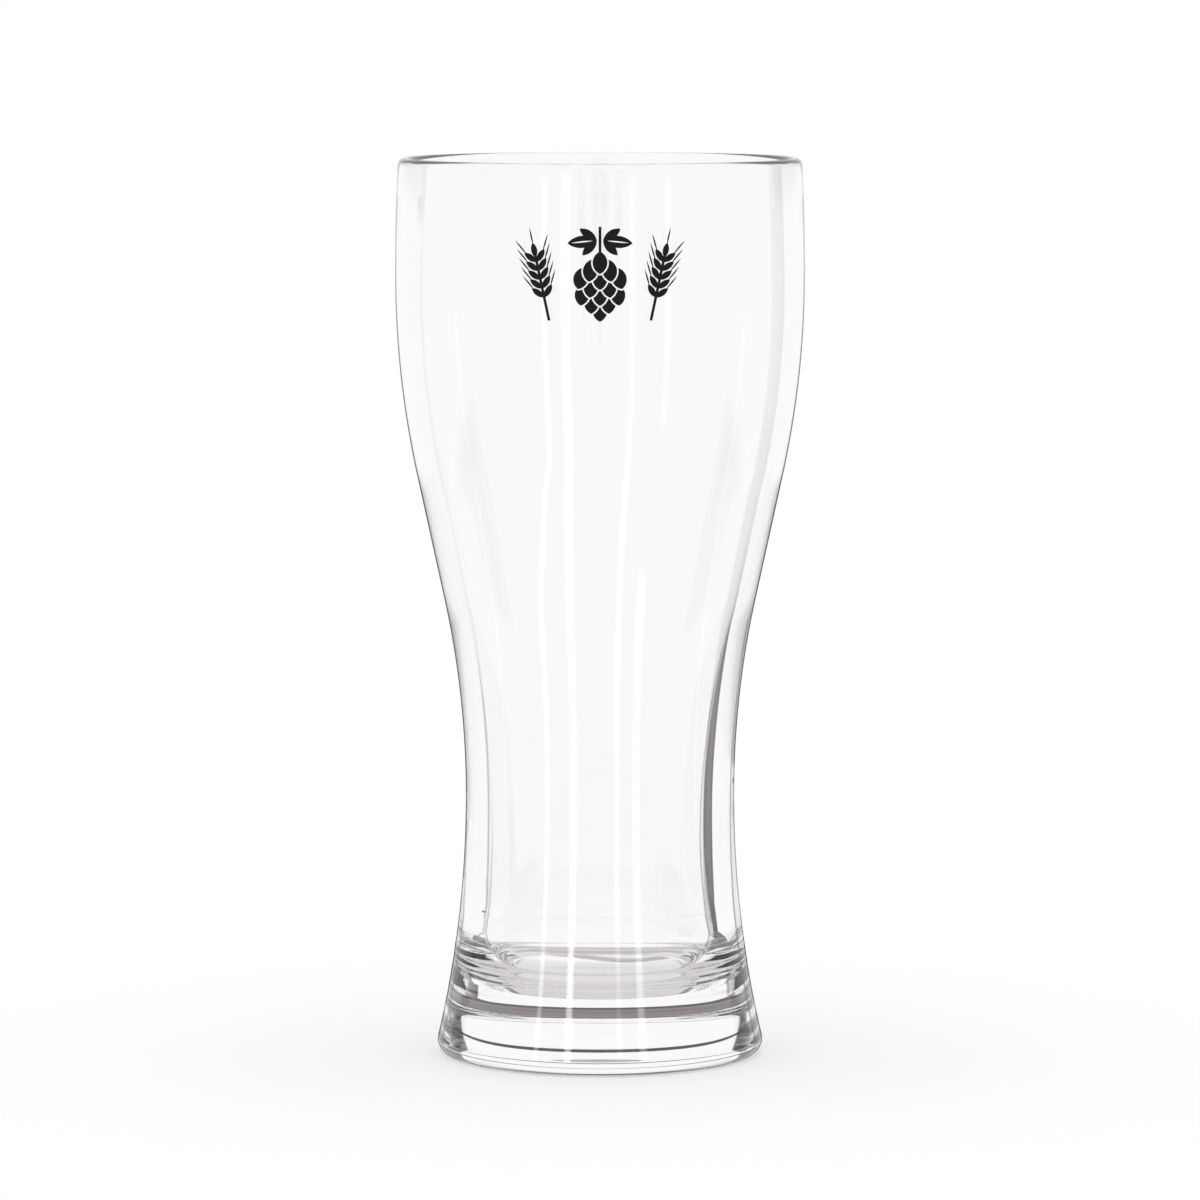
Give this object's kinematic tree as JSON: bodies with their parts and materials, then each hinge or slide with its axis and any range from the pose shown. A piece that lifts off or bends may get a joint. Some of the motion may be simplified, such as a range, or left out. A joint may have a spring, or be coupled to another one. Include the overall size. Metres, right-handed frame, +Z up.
{
  "type": "beer glass",
  "caption": "Footed beer glass with a bulged bowl, narrow waist, flared foot, thick clear base and a fired black print of a hop cone between barley ears.",
  "frame": {"origin": "centre of the circle that the glass stands on, in the plane of the table", "axes": "+Z up along the axis of the glass, -Y towards the viewer who reads the print, +X to that viewer's right"},
  "size_m": [0.0826, 0.0828, 0.182],
  "materials": {
    "clear_glass": "clear colourless soda-lime glass, fire polished",
    "black_enamel": "black ceramic ink fired on the glass, satin"
  },
  "bodies": {
    "root": {"glass_body": "clear_glass", "barley_ear_left": "black_enamel", "hop_leaf_left": "black_enamel", "hop_cone": "black_enamel", "hop_leaf_right": "black_enamel", "barley_ear_right": "black_enamel"}
  },
  "joints": []
}
